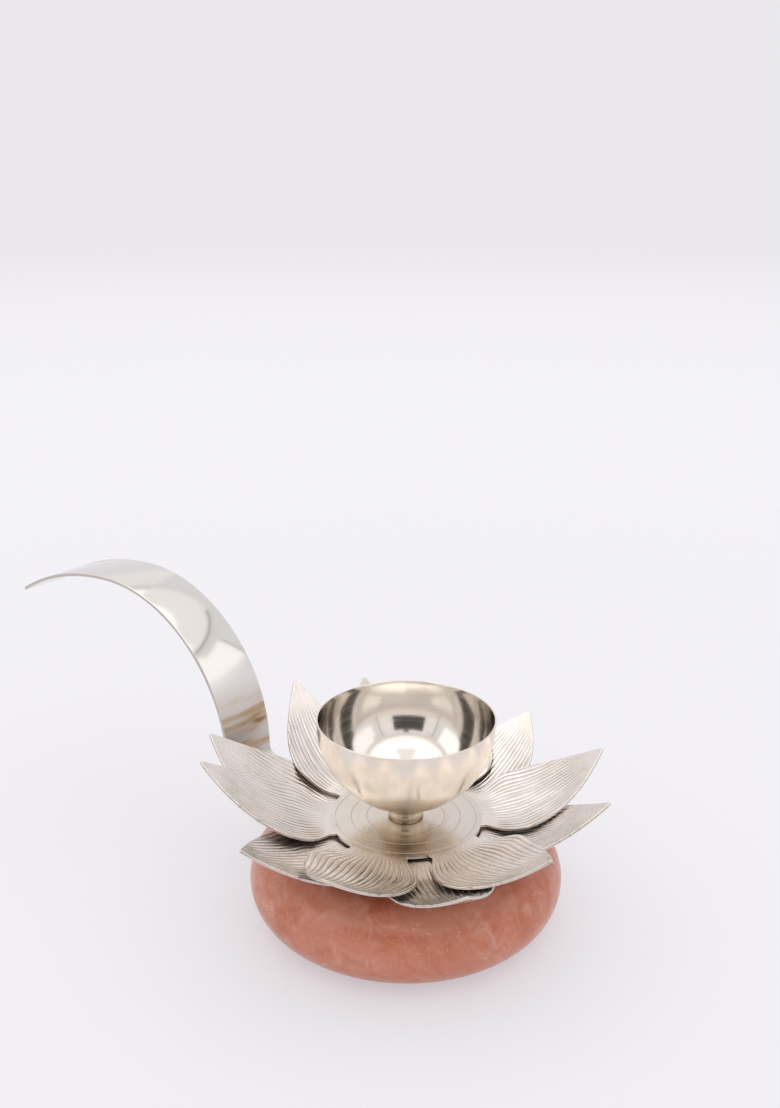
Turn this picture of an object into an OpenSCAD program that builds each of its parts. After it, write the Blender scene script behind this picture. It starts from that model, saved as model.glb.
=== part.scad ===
// An aarti lamp: a round oil bowl on a two-layer metal lotus, over a polished stone disc,
// with a long strip handle bent up and over from under the flower.
// The origin is on the lamp's axis at the face it rests on, +Z is up, and the handle points along -X.

/* [Stone base] */
// Diameter of the stone disc
stone_d = 99; // [84:1:120]
// Thickness of the stone disc, which is also the diameter of its fully rounded edge
stone_t = 25.4; // [21:0.1:30]
// Diameter of the hole through the stone
stone_hole_d = 7; // [6.5:0.1:10]
// Diameter of the recess for the nut under the stone
recess_d = 22; // [18:0.5:28]
// Depth of the recess for the nut under the stone
recess_depth = 14; // [12:0.5:16]
// Diameter of the felt pad under the stone
pad_d = 70; // [40:1:74]
// Thickness of the felt pad
pad_t = 1; // [0.6:0.1:3]

/* [Fixing] */
// Diameter of the threaded stud on the lamp's axis
stud_d = 5; // [4:0.1:6]
// Clearance between the stud and what it screws into
thread_fit = 0.1; // [0.06:0.02:0.2]
// Clearance between the stud and the plates it passes through
plate_fit = 0.4; // [0.2:0.05:1]
// Length of stud that stands below the nut
stud_past = 1.5; // [0:0.1:3]
// Distance across the nut's flats
nut_af = 8; // [7.5:0.1:10]
// Height of the nut
nut_h = 4; // [3:0.1:5]
// Diameter of the steel washer
washer_d = 16; // [12:0.5:17.5]
// Thickness of the steel washer
washer_t = 1.2; // [0.8:0.1:1.6]
// Diameter of the fibre washer that cushions the stone
cushion_d = 18; // [14:0.5:18]
// Thickness of the fibre washer
cushion_t = 1; // [0.5:0.1:1.5]
// Diameter of the rubber disc on top of the stone
gasket_d = 40; // [24:1:48]
// Thickness of the rubber disc on top of the stone
gasket_t = 1.8; // [1:0.1:3]

/* [Handle] */
// Width of the strip
strip_w = 21; // [14:0.5:26]
// Thickness of the strip
strip_t = 1.2; // [1:0.1:2]
// Distance from the circle of the upper petals' tips out to where the strip stands upright
strip_past = 5; // [4:0.5:17]
// Radius of the strip's first curve, from upright to level
rise_r = 55; // [40:1:70]
// Radius of the strip's second curve, from level to its end
grip_r = 96; // [60:1:140]
// Angle that the second curve turns through
grip_angle = 31; // [15:1:40]
// Radius on the middle of the bend at the strip's foot
foot_r = 4; // [2.5:0.1:5]
// Length of strip past the lamp's axis
tab_past = 11; // [6:0.5:18]
// Cut across each corner of the strip's hidden end
tab_corner = 4; // [1:0.5:6]
// Height of the upright stretch above the foot bend
upright_h = 0.6; // [0.2:0.1:12]

/* [Lotus] */
// Thickness of both flower sheets
sheet_t = 0.8; // [0.6:0.05:1]
// Diameter of the round middle of each sheet
disc_d = 48.4; // [44:0.2:52]
// Width of a petal where it leaves the round middle
root_w = 18.5; // [14:0.5:21]
// Width of a petal at its widest
petal_w = 32.4; // [26:0.2:34]
// Width of the blunt end of a petal's tip
tip_w = 1; // [0.8:0.1:2]
// Radius from the axis to the tips of the upper petals
upper_reach = 63; // [58:0.5:65]
// Distance that the lower petals reach past the upper ones
lower_past = 0.5; // [0:0.1:1.5]
// Height that an ordinary petal's tip rises above its sheet
petal_lift = 18; // [14:0.5:20]
// Height of a petal's edges above its middle at its widest
petal_cup = 1.5; // [0.6:0.1:1.6]
// Diameter of the collar between the two sheets
collar_d = 24; // [14:0.5:40]
// Height of the collar between the two sheets
collar_t = 1.7; // [1.6:0.1:3]
// Diameter of the outermost engraved ring
ring_d = 44.5; // [42.5:0.1:46]
// Diameter of the middle engraved ring
mid_ring_d = 34.4; // [28:0.1:40]
// Diameter of the innermost engraved ring
inner_ring_d = 24.6; // [16:0.1:26]
// Width of an engraved ring
ring_w = 0.5; // [0.3:0.05:0.8]
// Depth of an engraved ring
ring_depth = 0.25; // [0.1:0.05:0.4]

/* [Bowl] */
// Outer diameter of the bowl
bowl_d = 55.4; // [48:0.2:62]
// Height of the bowl's straight lip above its half-round body
bowl_lip = 1.4; // [0:0.1:4]
// Thickness of the bowl's wall
bowl_wall = 0.9; // [0.7:0.05:1.5]
// Diameter of the stem under the bowl
stem_d = 11.2; // [9:0.1:14]
// Height of the bowl's lowest point above the upper sheet
stem_h = 4.9; // [4:0.1:10]
// Radius of the flare where the stem meets the bowl
flare_r = 4; // [2.5:0.1:5]
// Clearance between the bowl and the stem's hollow top, filled by solder
solder_gap = 0.05; // [0.04:0.01:0.1]
// Metal left between the stud and the top of the stem
stem_roof = 1; // [0.8:0.1:1.5]

/* [Hidden] */
$fn = 96;

// Overrun of a cut past the face that it opens
cut = 1;
// Length of petal that is buried in the round middle of its sheet
bury = 4;
// Depth that a buried petal root stays inside each face of its sheet
root_inset = 0.04;
// Clearance between the stud's end and the bottom of its hole in the stem
stud_end_gap = 0.4;

// Radius to the lower petals' tips, and distance from the axis to the upright strip
lower_reach = upper_reach + lower_past;
strip_reach = upper_reach + strip_past;

// Heights of the pieces, one on another
stone_z = pad_t;
gasket_z = stone_z + stone_t;
tab_z = gasket_z + gasket_t;
lower_z = tab_z + strip_t;
collar_z = lower_z + sheet_t;
upper_z = collar_z + collar_t;
stem_z = upper_z + sheet_t;
bowl_z = stem_z + stem_h;
round_z = bowl_z + bowl_d / 2;
seat_z = stone_z + recess_depth;
washer_z = seat_z - cushion_t - washer_t;
nut_z = washer_z - nut_h;
stud_z = nut_z - stud_past;
stem_hole_top = bowl_z - stem_roof;

// The flower has six petals in each sheet, an even angle apart, and each was bent by hand:
// a list holds one value for each petal, going round from the first.
petals = 6;
petal_angle = 360 / petals;
upper_start = -15;
lower_start = 21;
// Degrees that each petal stands off its even place
upper_turns = [0, 0, 0, -1, -3, 1];
lower_turns = [-4, 3, -1, 5, -1, 0];
// Each tip's height as a share of the ordinary lift
upper_lift_shares = [0.83, 1.05, 0.8, 1.34, 1.21, 0.83];
lower_lift_shares = [1.07, 0.91, 1.27, 1.38, 0.92, 0.78];
// How late each petal curls up: a power of the way along it
upper_curls = [2.5, 2, 2.2, 2.5, 1.75, 2.4];
lower_curls = [1.85, 1.75, 3, 1.75, 1.9, 2.75];
// Degrees that each petal is rolled about its length
upper_rolls = [6, 2, 0, 11, 0, -7];
lower_rolls = [0, -4, 0, -7, -6, 3];
// Where a petal is widest, where its roll is complete, and how full its outer sides are
widest_share = 0.3;
rolled_share = 0.3;
fullness = 1.9;
// Share of a petal at which its first bend line lies, just clear of the round middle's edge
first_share = 0.02;
// Steps along and across a petal
steps_long = 13;
steps_wide = 6;
// Share of a petal that its slope is measured over
slope_share = 0.001;
// Steps along the strip's foot bend and its two curves, and along the stem's flare and hollow top
foot_steps = 8;
rise_steps = 24;
grip_steps = 12;
flare_steps = 10;
seat_steps = 10;
// Flats of the nut
nut_sides = 6;

// Half the width of a petal at share s of its length
function half_width(s) =
    s < widest_share
    ? root_w / 2 + (petal_w - root_w) / 2 * sin(90 * max(s, 0) / widest_share)
    : tip_w / 2 + (petal_w - tip_w) / 2 * (1 - pow((s - widest_share) / (1 - widest_share), fullness));

// How much of the roll and cup a petal has taken at share s of its length
function rolled(s) = s < rolled_share ? (1 - cos(180 * max(s, 0) / rolled_share)) / 2 : 1;

// A point of a petal's top face: s along it, u from -1 to 1 across it
function petal_point(s, u, reach, lift, curl, roll) =
    let (y = half_width(s) * u, rise = lift * pow(max(s, 0), curl))
    [disc_d / 2 + (reach - disc_d / 2) * s, y,
     rise + rolled(s) * (petal_cup * pow(2 * y / petal_w, 2) + tan(roll) * y)];

// The upward unit normal of the same face, from two short steps on it
function petal_normal(s, u, reach, lift, curl, roll) =
    let (p = petal_point(s, u, reach, lift, curl, roll),
         a = petal_point(s + slope_share, u, reach, lift, curl, roll) - p,
         b = petal_point(s, u + slope_share, reach, lift, curl, roll) - p,
         n = cross(a, b))
    n / norm(n);

// A petal of sheet metal, root end first, with its root buried in the round middle
module petal(reach, lift, curl, roll) {
    root_s = -bury / (reach - disc_d / 2);
    shares = [root_s, first_share, for (i = [1 : steps_long]) i / steps_long];
    across = [for (j = [0 : steps_wide]) 2 * j / steps_wide - 1];
    rows = len(shares);
    cols = len(across);
    top = [for (s = shares, u = across)
        petal_point(s, u, reach, lift, curl, roll)
        - root_inset * petal_normal(s, u, reach, lift, curl, roll)];
    under = [for (s = shares, u = across)
        petal_point(s, u, reach, lift, curl, roll)
        - (sheet_t - root_inset) * petal_normal(s, u, reach, lift, curl, roll)];
    low = rows * cols;
    top_faces = [for (i = [0 : rows - 2], j = [0 : cols - 2], k = [0, 1])
        let (a = i * cols + j, b = a + cols)
        k == 0 ? [a, a + 1, b + 1] : [a, b + 1, b]];
    under_faces = [for (f = top_faces) [f[2] + low, f[1] + low, f[0] + low]];
    rim = concat([for (i = [0 : rows - 2]) i * cols],
                 [for (j = [0 : cols - 2]) (rows - 1) * cols + j],
                 [for (i = [rows - 1 : -1 : 1]) i * cols + cols - 1],
                 [for (j = [cols - 1 : -1 : 1]) j]);
    sides = [for (i = [0 : len(rim) - 1], k = [0, 1])
        let (a = rim[i], b = rim[(i + 1) % len(rim)])
        k == 0 ? [a, b, b + low] : [a, b + low, a + low]];
    polyhedron(concat(top, under), concat(top_faces, under_faces, sides));
}

// One flower sheet: a drilled disc with its ring of petals, with its underside at height z
module lotus_sheet(z, start, reach, turns, lift_shares, curls, rolls) {
    difference() {
        union() {
            translate([0, 0, z]) cylinder(d = disc_d, h = sheet_t);
            for (n = [0 : petals - 1])
                translate([0, 0, z + sheet_t])
                    rotate([0, 0, start + n * petal_angle + turns[n]])
                        petal(reach, petal_lift * lift_shares[n], curls[n], rolls[n]);
        }
        translate([0, 0, z - cut]) cylinder(d = stud_d + plate_fit, h = sheet_t + 2 * cut);
    }
}

// A flat ring: a disc with a hole, with its underside at height z
module flat_ring(d, hole_d, t, z) {
    translate([0, 0, z])
        difference() {
            cylinder(d = d, h = t);
            translate([0, 0, -cut]) cylinder(d = hole_d, h = t + 2 * cut);
        }
}

// Points of an arc about [x, z], from one angle to another
function arc(x, z, r, from, to, steps) =
    [for (i = [0 : steps]) let (a = from + (to - from) * i / steps) [x + r * cos(a), z + r * sin(a)]];

// One face of the strip in side view, a distance off its middle line, from the hidden end to the grip
function strip_line(off) =
    let (tab_mid = tab_z + strip_t / 2,
         rise_z = tab_mid + foot_r + upright_h,
         over_x = -strip_reach - rise_r,
         over_z = rise_z + rise_r)
    concat([[tab_past, tab_mid + off]],
           arc(-strip_reach + foot_r, tab_mid + foot_r, foot_r - off, -90, -180, foot_steps),
           arc(over_x, rise_z, rise_r + off, 0, 90, rise_steps),
           arc(over_x, over_z - grip_r, grip_r + off, 90, 90 + grip_angle, grip_steps));

module base_pad() {
    color("#3b3838") cylinder(d = pad_d, h = pad_t);
}

module stone_base() {
    edge_r = stone_t / 2;
    color("#d98f77") difference() {
        translate([0, 0, stone_z]) {
            cylinder(r = stone_d / 2 - edge_r, h = stone_t);
            rotate_extrude()
                translate([stone_d / 2 - edge_r, edge_r])
                    intersection() {
                        circle(r = edge_r);
                        translate([0, -edge_r]) square([edge_r, stone_t]);
                    }
        }
        translate([0, 0, stone_z - cut]) cylinder(d = stone_hole_d, h = stone_t + 2 * cut);
        translate([0, 0, stone_z - cut]) cylinder(d = recess_d, h = recess_depth + cut);
    }
}

module base_nut() {
    color("#b9bcc0") translate([0, 0, nut_z]) difference() {
        cylinder(d = nut_af / cos(180 / nut_sides), h = nut_h, $fn = nut_sides);
        translate([0, 0, -cut]) cylinder(d = stud_d + thread_fit, h = nut_h + 2 * cut);
    }
}

module base_washer() {
    color("#b9bcc0") flat_ring(washer_d, stud_d + plate_fit, washer_t, washer_z);
}

module cushion_washer() {
    color("#8d5a3a") flat_ring(cushion_d, stud_d + plate_fit, cushion_t, seat_z - cushion_t);
}

module centre_stud() {
    color("#a9adb2") translate([0, 0, stud_z])
        cylinder(d = stud_d, h = stem_hole_top - stud_end_gap - stud_z);
}

module stone_gasket() {
    color("#2d2c2c") flat_ring(gasket_d, stud_d + plate_fit, gasket_t, gasket_z);
}

module handle_strip() {
    inner = strip_line(-strip_t / 2);
    outer = strip_line(strip_t / 2);
    side = concat(inner, [for (i = [len(outer) - 1 : -1 : 0]) outer[i]]);
    corner_side = tab_corner * sqrt(2);
    corner_h = 2 * (strip_t + 2 * cut);
    color("#d5d2ce") difference() {
        translate([0, strip_w / 2, 0]) rotate([90, 0, 0]) linear_extrude(strip_w) polygon(side);
        translate([0, 0, tab_z - cut]) cylinder(d = stud_d + plate_fit, h = strip_t + 2 * cut);
        for (m = [0, 1])
            mirror([0, m, 0])
                translate([tab_past, strip_w / 2, tab_z - cut])
                    rotate([0, 0, 45]) cube([corner_side, corner_side, corner_h], center = true);
    }
}

module lower_lotus() {
    color("#c2beb8")
        lotus_sheet(lower_z, lower_start, lower_reach, lower_turns, lower_lift_shares, lower_curls,
                    lower_rolls);
}

module lotus_collar() {
    color("#b8b4ae") flat_ring(collar_d, stud_d + plate_fit, collar_t, collar_z);
}

module upper_lotus() {
    color("#d2cfca") difference() {
        lotus_sheet(upper_z, upper_start, upper_reach, upper_turns, upper_lift_shares, upper_curls,
                    upper_rolls);
        for (d = [ring_d, mid_ring_d, inner_ring_d])
            translate([0, 0, stem_z - ring_depth])
                difference() {
                    cylinder(d = d + ring_w, h = ring_depth + cut);
                    translate([0, 0, -cut]) cylinder(d = d - ring_w, h = ring_depth + 3 * cut);
                }
    }
}

module bowl_stem() {
    seat_r = bowl_d / 2 + solder_gap;
    stem_r = stem_d / 2;
    // The flare's circle touches the stem's side and the bowl's outside
    drop = sqrt(pow(seat_r + flare_r, 2) - pow(stem_r + flare_r, 2));
    flare_z = round_z - drop;
    tilt = atan2(drop, stem_r + flare_r);
    outline = concat([[0, stem_z], [stem_r, stem_z]],
                     arc(stem_r + flare_r, flare_z, flare_r, 180, 180 - tilt, flare_steps),
                     arc(0, round_z, seat_r, -tilt, -90, seat_steps));
    color("#cbc3b6") difference() {
        rotate_extrude() polygon(outline);
        translate([0, 0, stem_z - cut])
            cylinder(d = stud_d + thread_fit, h = stem_hole_top - stem_z + cut);
    }
}

module bowl() {
    inner_r = bowl_d / 2 - bowl_wall;
    color("#dedad4") translate([0, 0, round_z]) rotate_extrude() {
        intersection() {
            difference() {
                circle(d = bowl_d);
                circle(r = inner_r);
            }
            translate([0, -bowl_d]) square(bowl_d);
        }
        translate([inner_r, 0]) square([bowl_wall, bowl_lip]);
    }
}

base_pad();
stone_base();
base_nut();
base_washer();
cushion_washer();
centre_stud();
stone_gasket();
handle_strip();
lower_lotus();
lotus_collar();
upper_lotus();
bowl_stem();
bowl();
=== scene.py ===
"""An aarti lamp, dressed for the studio view.

A half-round oil bowl stands on a short stem over a lotus of two stamped sheets. The lotus is
screwed down to a polished disc of cloudy pink stone, and a long strip handle comes out from
under it, bends up and curves over. All sizes are millimetres in the classes below and metres
in the meshes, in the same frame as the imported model.
"""

import logging
import math
from dataclasses import dataclass, field
from enum import Enum

import bmesh
import bpy
from mathutils import Matrix, Vector, noise


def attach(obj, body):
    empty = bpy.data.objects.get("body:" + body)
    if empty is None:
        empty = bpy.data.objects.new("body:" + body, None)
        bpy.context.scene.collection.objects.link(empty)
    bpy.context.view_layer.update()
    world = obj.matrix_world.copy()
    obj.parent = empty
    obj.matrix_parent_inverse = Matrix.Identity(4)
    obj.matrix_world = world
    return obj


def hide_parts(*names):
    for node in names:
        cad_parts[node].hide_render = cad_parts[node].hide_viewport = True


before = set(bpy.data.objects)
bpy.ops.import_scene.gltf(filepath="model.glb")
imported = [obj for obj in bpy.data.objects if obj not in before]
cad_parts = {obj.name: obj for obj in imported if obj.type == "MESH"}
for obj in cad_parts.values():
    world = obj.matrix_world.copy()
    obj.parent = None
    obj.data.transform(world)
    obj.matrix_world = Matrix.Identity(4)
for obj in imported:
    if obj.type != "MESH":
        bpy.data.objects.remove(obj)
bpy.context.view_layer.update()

LOG = logging.getLogger("aarti_lamp")
MM = 0.001
MERGE_MM = 0.0005
BODY = "root"

Material = bpy.types.Material
Socket = bpy.types.NodeSocket
Tree = bpy.types.NodeTree
BMesh = bmesh.types.BMesh
Point = tuple[float, float]
Span = tuple[float, float]

# Shader helpers


def linear(code: str) -> tuple[float, float, float, float]:
    """Turns an sRGB hex colour to the linear colour that the shaders take.

    Args:
        code: A colour such as "#C0FFEE".

    Returns:
        Linear red, green, blue and an alpha of 1.
    """
    parts = [int(code[i : i + 2], 16) / 255 for i in (1, 3, 5)]
    turned = [p / 12.92 if p <= 0.04045 else ((p + 0.055) / 1.055) ** 2.4 for p in parts]
    return (turned[0], turned[1], turned[2], 1.0)


def add_node(
    tree: Tree,
    kind: str,
    settings: dict[str, object] | None = None,
    inputs: dict[str | int, object] | None = None,
) -> bpy.types.Node:
    """Adds one shader node with its settings, values and links.

    Args:
        tree: The node tree of a material or of the world.
        kind: The node's type without its common prefix, such as "TexNoise".
        settings: Attributes of the node to set.
        inputs: For each input, by name or number, a value or the socket that feeds it.

    Returns:
        The new node.
    """
    node = tree.nodes.new("ShaderNode" + kind)
    for name, value in (settings or {}).items():
        setattr(node, name, value)
    for key, value in (inputs or {}).items():
        if isinstance(value, Socket):
            tree.links.new(value, node.inputs[key])
        else:
            node.inputs[key].default_value = value
    return node


def new_material(name: str) -> tuple[Material, Tree, Socket]:
    """Makes an empty node material.

    Args:
        name: The material's name.

    Returns:
        The material, its emptied node tree, and the socket of its object coordinates.
    """
    material = bpy.data.materials.new(name)
    material.use_nodes = True
    tree = material.node_tree
    tree.nodes.clear()
    return material, tree, add_node(tree, "TexCoord").outputs["Object"]


def per(size_mm: float, times: float = 1.0) -> float:
    """Works out the scale of a pattern in metres.

    Args:
        size_mm: The size of its lumps in millimetres.
        times: How many of them go into that size.

    Returns:
        The scale.
    """
    return times / (size_mm * MM)


def pattern(tree: Tree, place: Socket, scale: float, detail: float, **more: float) -> Socket:
    """Adds a noise pattern.

    Args:
        tree: The node tree.
        place: The coordinates that it reads.
        scale: Lumps to each unit of those.
        detail: Finer layers in it.
        more: Its other inputs.

    Returns:
        Its value, around a half.
    """
    inputs = {"Vector": place, "Scale": scale, "Detail": detail, **more}
    return add_node(tree, "TexNoise", None, inputs).outputs["Fac"]


def math_of(tree: Tree, operation: str, *values: float | Socket) -> Socket:
    """Adds one step of arithmetic.

    Args:
        tree: The node tree.
        operation: The step's name.
        values: What it takes, in order.

    Returns:
        Its result.
    """
    return add_node(tree, "Math", {"operation": operation}, dict(enumerate(values))).outputs[0]


def ramp(
    tree: Tree,
    value: Socket,
    span: Span = (0.0, 1.0),
    to: tuple[float | Socket, float | Socket] = (0.0, 1.0),
    eased: bool = True,
) -> Socket:
    """Turns one span of a value into another, and holds what lies outside it.

    Args:
        tree: The node tree.
        value: What is read.
        span: Its start and end.
        to: What those two turn into.
        eased: Whether both ends are eased.

    Returns:
        The turned value.
    """
    return add_node(
        tree, "MapRange", {"interpolation_type": "SMOOTHSTEP" if eased else "LINEAR"},
        {"Value": value, "From Min": span[0], "From Max": span[1], "To Min": to[0],
         "To Max": to[1]},
    ).outputs[0]


def blend(tree: Tree, share: Socket, first: str | Socket, second: str | Socket) -> Socket:
    """Mixes two colours.

    Args:
        tree: The node tree.
        share: Share of the second.
        first: A hex colour or a socket.
        second: Another.

    Returns:
        The mixed colour.
    """
    ends = [linear(end) if isinstance(end, str) else end for end in (first, second)]
    inputs = {0: share, 6: ends[0], 7: ends[1]}
    return add_node(tree, "Mix", {"data_type": "RGBA"}, inputs).outputs[2]


def relief(tree: Tree, *layers: tuple[Socket, float, bool]) -> Socket:
    """Stacks layers of relief.

    Args:
        tree: The node tree.
        layers: For each, its height, its depth in millimetres and whether it goes inwards.

    Returns:
        The normal over them all.
    """
    below: dict[str, Socket] = {}
    for height, depth_mm, inward in layers:
        inputs = {"Height": height, "Distance": depth_mm * MM, "Strength": 1.0, **below}
        below = {"Normal": add_node(tree, "Bump", {"invert": inward}, inputs).outputs[0]}
    return below["Normal"]


def finish_with(tree: Tree, surface: Socket) -> None:
    """Links a surface to the tree's output.

    Args:
        tree: The material's node tree.
        surface: The shader socket to show.
    """
    add_node(tree, "OutputMaterial", None, {"Surface": surface})


def finish_solid(tree: Tree, inputs: dict[str, object], metal: bool = False) -> None:
    """Ends a material as one solid surface.

    Args:
        tree: The material's node tree.
        inputs: What the surface takes.
        metal: Whether it is bare metal.
    """
    inputs = {**inputs, "Metallic": float(metal)}
    surface = add_node(tree, "BsdfPrincipled", {"subsurface_method": "RANDOM_WALK"}, inputs)
    finish_with(tree, surface.outputs[0])


# Finishes, each named for what the real surface is


@dataclass(frozen=True)
class StampedSheet:
    """Nickel-plated brass sheet, stamped with veins, then brushed: a warm-white satin.

    The brushing blurs what the sheet mirrors into soft patches, and the veins are coloured
    darker and duller than the satin between them.
    """

    name: str = "stamped_white_metal"
    face: str = "#E7E0DA"
    aged: str = "#D7CEC4"
    vein: str = "#85786D"
    rough: float = 0.18
    scratched: float = 0.46
    scratched_span: Span = (0.4, 0.66)
    scratch_pull: tuple[float, float, float] = (6.0, 0.12, 1.0)
    scratch_depth_mm: float = 0.006
    vein_rough: float = 0.45
    vein_share: float = 0.17
    vein_depth_mm: float = 0.015
    root_fade_mm: Span = (1.0, 5.0)
    tip_fade_mm: Span = (27.0, 35.0)
    worn_span: Span = (0.35, 0.65)
    worn_least: float = 0.35
    aged_span: Span = (0.42, 0.7)
    aged_share: float = 0.6
    dent_mm: float = 11.0
    dent_depth_mm: float = 0.09
    worn_finer: float = 0.7
    aged_finer: float = 1.4

    def make(self) -> Material:
        """Builds the material; the "veins" UV map counts veins across and millimetres along."""
        material, tree, place = new_material(self.name)
        lines = add_node(tree, "UVMap", {"uv_map": "veins"}).outputs["UV"]
        split = add_node(tree, "SeparateXYZ", None, {0: lines}).outputs
        swing = math_of(tree, "PINGPONG", split["X"], 0.5)
        shown = ramp(tree, swing, (0.0, self.vein_share), (1.0, 0.0))
        worn = pattern(tree, place, per(self.dent_mm, self.worn_finer), 3.0)
        for value, span, to in (
            (split["Y"], self.root_fade_mm, (0.0, 1.0)),
            (split["Y"], self.tip_fade_mm, (1.0, 0.0)),
            (worn, self.worn_span, (self.worn_least, 1.0)),
        ):
            shown = math_of(tree, "MULTIPLY", shown, ramp(tree, value, span, to))
        stain = pattern(tree, place, per(self.dent_mm, self.aged_finer), 4.0)
        old = ramp(tree, stain, self.aged_span, (0.0, self.aged_share), eased=False)
        plate = blend(tree, old, self.face, self.aged)
        dents = pattern(tree, place, per(self.dent_mm), 1.0)
        pulled = add_node(tree, "Mapping", None, {"Vector": lines, "Scale": self.scratch_pull})
        grain = pattern(tree, pulled.outputs[0], 1.0, 2.0)
        satin = ramp(tree, grain, self.scratched_span, (self.rough, self.scratched))
        normal = relief(
            tree, (dents, self.dent_depth_mm, False), (shown, self.vein_depth_mm, True),
            (grain, self.scratch_depth_mm, False),
        )
        finish_solid(tree, {
            "Base Color": blend(tree, shown, plate, self.vein),
            "Roughness": ramp(tree, shown, to=(satin, self.vein_rough), eased=False),
            "Normal": normal,
        }, metal=True)
        return material


@dataclass(frozen=True)
class CutEdge:
    """Sheared edge of the same plated brass: grey, torn by the shears and half dull."""

    name: str = "sheared_edge"
    face: str = "#DDD5CE"
    torn: str = "#B3A89E"
    rough: float = 0.3
    tear_mm: float = 0.8
    tear_depth_mm: float = 0.02

    def make(self) -> Material:
        """Builds the material: short darker tears along a plain grey."""
        material, tree, place = new_material(self.name)
        tears = pattern(tree, place, per(self.tear_mm), 3.0)
        finish_solid(tree, {
            "Base Color": blend(tree, tears, self.face, self.torn),
            "Roughness": self.rough,
            "Normal": relief(tree, (tears, self.tear_depth_mm, False)),
        }, metal=True)
        return material


@dataclass(frozen=True)
class TurnedMetal:
    """White metal polished on a lathe: a mirror with fine rings about the lamp's axis.

    Where it is pulled, the rings smear what it mirrors up and down into soft streaks.
    """

    name: str
    face: str
    rough: float
    scratched: float = 0.3
    scratched_span: Span = (0.44, 0.7)
    pulled: float = 0.0
    ring_mm: float = 0.35
    ring_depth_mm: float = 0.003
    ring_drift: float = 0.8
    dent_mm: float = 16.0
    dent_depth_mm: float = 0.03
    tarnish: str = "#C6B7A3"
    tarnish_share: float = 0.25
    tarnish_span: Span = (0.42, 0.72)
    tarnish_finer: float = 1.6
    pull_turn: float = 0.25

    def make(self) -> Material:
        """Builds the material; its rings read the distance from the axis and the height."""
        material, tree, place = new_material(self.name)
        x, y, z = add_node(tree, "SeparateXYZ", None, {0: place}).outputs
        flat = add_node(tree, "CombineXYZ", None, {0: x, 1: y}).outputs[0]
        away = add_node(tree, "VectorMath", {"operation": "LENGTH"}, {0: flat})
        around = add_node(tree, "VectorMath", {"operation": "NORMALIZE"}, {0: flat})
        path = add_node(tree, "CombineXYZ", None, {0: away.outputs["Value"], 1: z})
        fine, slow = (
            add_node(
                tree, "VectorMath", {"operation": "SCALE"}, {0: node.outputs[0], "Scale": scale}
            ).outputs[0]
            for node, scale in ((path, per(self.ring_mm)), (around, self.ring_drift))
        )
        drift = add_node(tree, "VectorMath", {"operation": "ADD"}, {0: fine, 1: slow})
        rings = pattern(tree, drift.outputs[0], 1.0, 3.0)
        dents = pattern(tree, place, per(self.dent_mm), 1.0)
        stain = pattern(tree, place, per(self.dent_mm, self.tarnish_finer), 4.0)
        share = ramp(tree, stain, self.tarnish_span, (0.0, self.tarnish_share), eased=False)
        # The shader's own tangent runs round the axis, so a quarter turn pulls up and down.
        finish_solid(tree, {
            "Base Color": blend(tree, share, self.face, self.tarnish),
            "Roughness": ramp(tree, rings, self.scratched_span, (self.rough, self.scratched)),
            "Anisotropic": self.pulled,
            "Anisotropic Rotation": self.pull_turn,
            "Normal": relief(
                tree, (dents, self.dent_depth_mm, False), (rings, self.ring_depth_mm, False)
            ),
        }, metal=True)
        return material


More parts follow.
